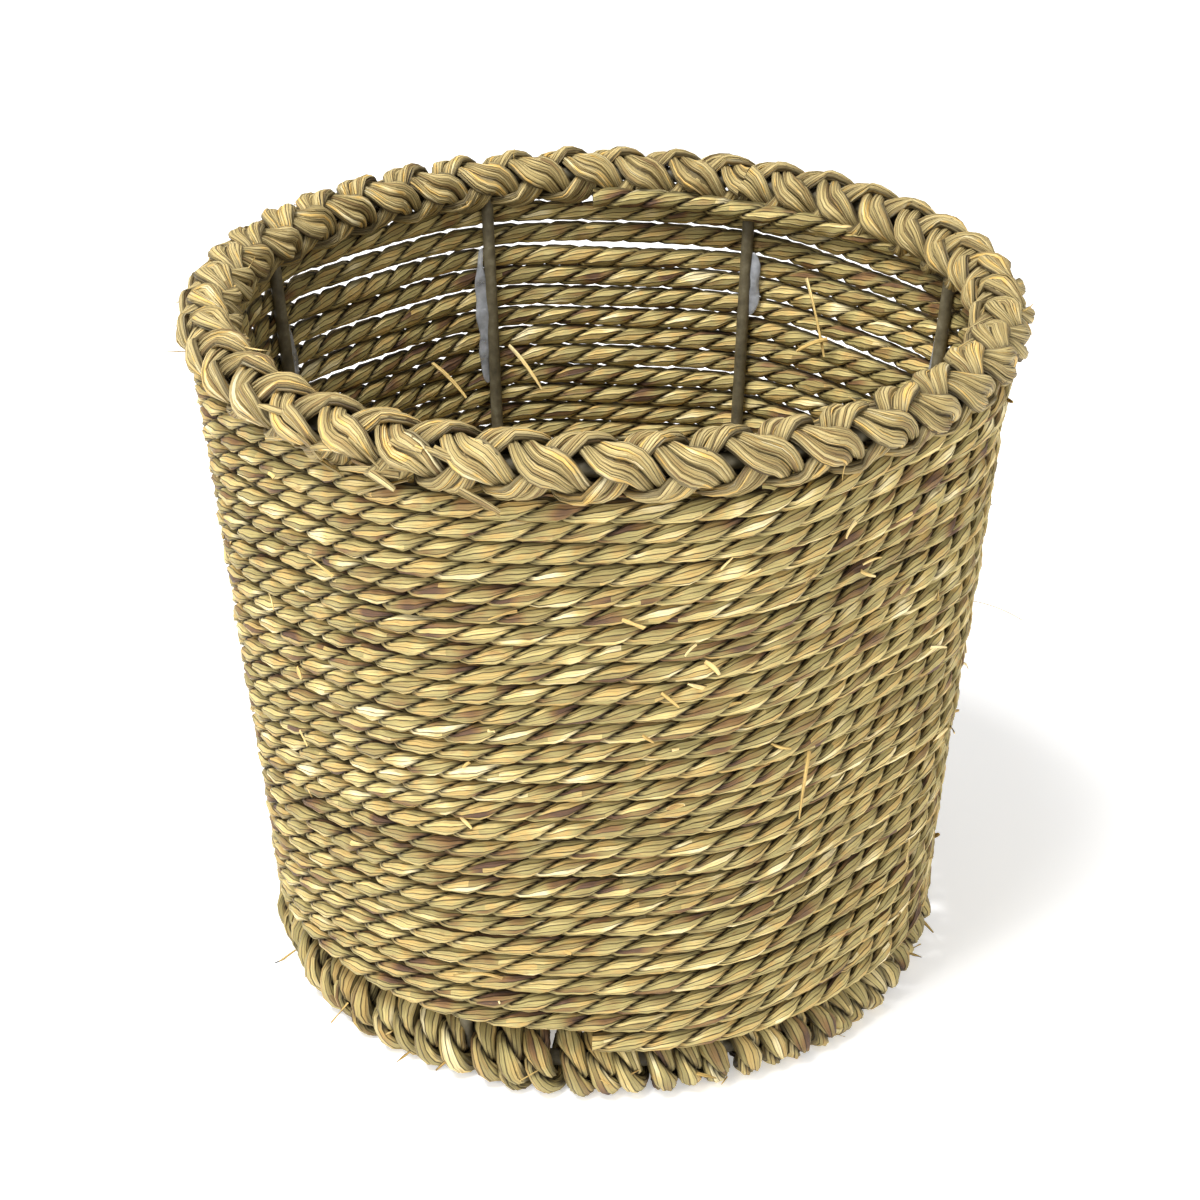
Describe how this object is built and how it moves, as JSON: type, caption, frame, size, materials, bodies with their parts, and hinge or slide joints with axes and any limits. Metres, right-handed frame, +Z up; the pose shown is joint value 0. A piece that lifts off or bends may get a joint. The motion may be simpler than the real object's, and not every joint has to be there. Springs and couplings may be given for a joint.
{
  "type": "seagrass storage basket",
  "caption": "Open round storage basket, wider at the top: seagrass rope wound and glued on a wire frame, with a plaited rim and a rope floor.",
  "frame": {"origin": "centre of the standing face, on the basket's axis", "axes": "+Z up through the open top; +Y towards the back upright bay where the wall rope ends; +X to the right"},
  "size_m": [0.2482, 0.2484, 0.2233],
  "materials": {
    "wire": "dull olive-grey paint on iron wire",
    "seagrass_rope": "dry two-strand seagrass rope, khaki with straw and brown blades",
    "seagrass_plait": "dry untwisted seagrass bundles, khaki with straw-yellow blades",
    "hot_glue": "milky translucent hot-melt glue"
  },
  "bodies": {
    "root": {"top_ring": "wire", "bottom_ring": "wire", "upright_1": "wire", "upright_2": "wire", "upright_3": "wire", "upright_4": "wire", "upright_5": "wire", "upright_6": "wire", "upright_7": "wire", "upright_8": "wire", "base_rod_long": "wire", "base_rod_left": "wire", "base_rod_right": "wire", "wall_rope": "seagrass_rope", "floor_rope": "seagrass_rope", "base_wraps": "seagrass_rope", "rim_strand_1": "seagrass_plait", "rim_strand_2": "seagrass_plait", "rim_strand_3": "seagrass_plait", "rim_strand_4": "seagrass_plait", "glue_beads": "hot_glue"}
  },
  "joints": []
}
